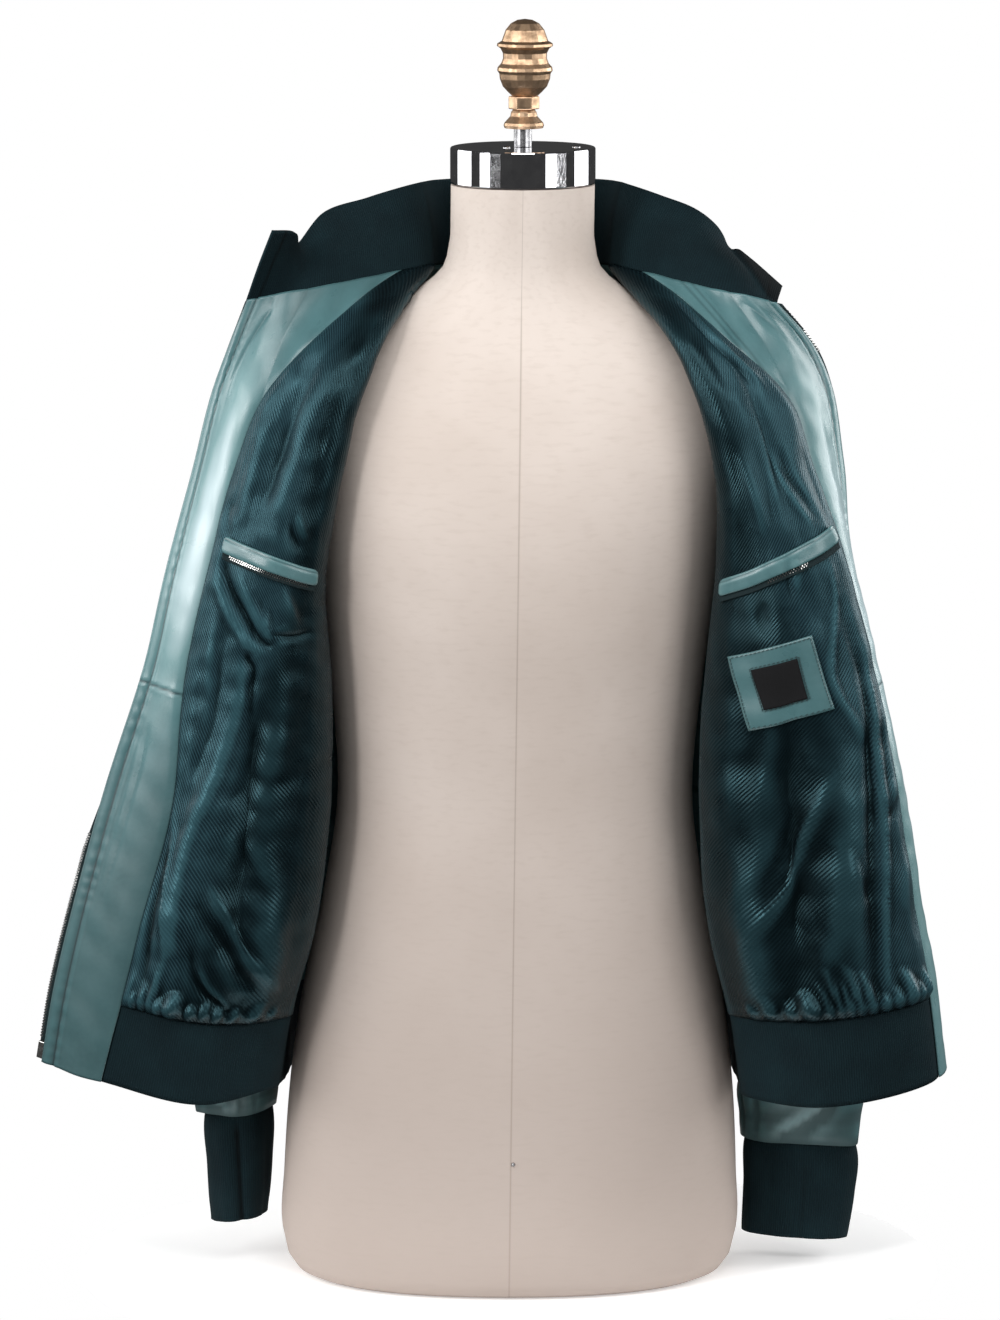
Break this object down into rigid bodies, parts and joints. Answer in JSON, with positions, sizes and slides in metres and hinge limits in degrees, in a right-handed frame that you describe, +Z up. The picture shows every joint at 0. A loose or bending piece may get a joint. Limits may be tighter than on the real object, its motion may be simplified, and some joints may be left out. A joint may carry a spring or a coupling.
{
  "type": "leather bomber jacket on dress form",
  "caption": "Open bomber jacket of thin leather with rib collar, hem band and cuffs, satin linings and inside pockets, resting on a limbless canvas dress form with a turned finial.",
  "frame": {"origin": "middle of the dress form's flat underside", "axes": "+Z up along the form, +Y towards its back, +X towards the wearer's left"},
  "size_m": [0.711, 0.3059, 0.9905],
  "materials": {
    "leather": "soft smooth lambskin, dyed teal, semi-matt",
    "knit": "fine wool rib knit, dark green",
    "satin": "twill satin lining, dark green with a teal sheen",
    "canvas": "cream cotton canvas over a padded shell",
    "chrome": "polished",
    "steel": "turned",
    "brass": "antique, brown in its hollows",
    "zip_metal": "polished",
    "zip_tape": "woven tape, dark green",
    "label": "woven satin, black, bare"
  },
  "bodies": {
    "jacket_on_form": {"back": "leather", "collar": "knit", "cuff_left": "knit", "cuff_right": "knit", "facing_left": "leather", "facing_right": "leather", "finial": "brass", "finial_foot": "brass", "finial_nut": "brass", "form": "canvas", "front_left": "leather", "front_right": "leather", "hem_band": "knit", "label": "label", "label_patch": "leather", "lining_left": "satin", "lining_right": "satin", "neck_cap": "chrome", "pocket_welt_left": "leather", "pocket_welt_right": "leather", "pocket_zip_left": "zip_tape", "pocket_zip_right": "zip_tape", "post": "steel", "sleeve_top_left": "leather", "sleeve_top_right": "leather", "sleeve_under_left": "leather", "sleeve_under_right": "leather", "zip_box": "zip_metal", "zip_pin": "zip_metal", "zip_slider": "zip_metal", "zip_tape_left": "zip_tape", "zip_tape_right": "zip_tape"},
    "pull": {"zip_pull": "zip_metal"}
  },
  "joints": [
    {"name": "pull_swing", "type": "hinge", "parent": "jacket_on_form", "child": "pull", "pos_m": [0.33037, -0.02019, 0.20398], "axis": [0.067, 0.9954, 0.0683], "range_deg": [-5, 150]}
  ]
}
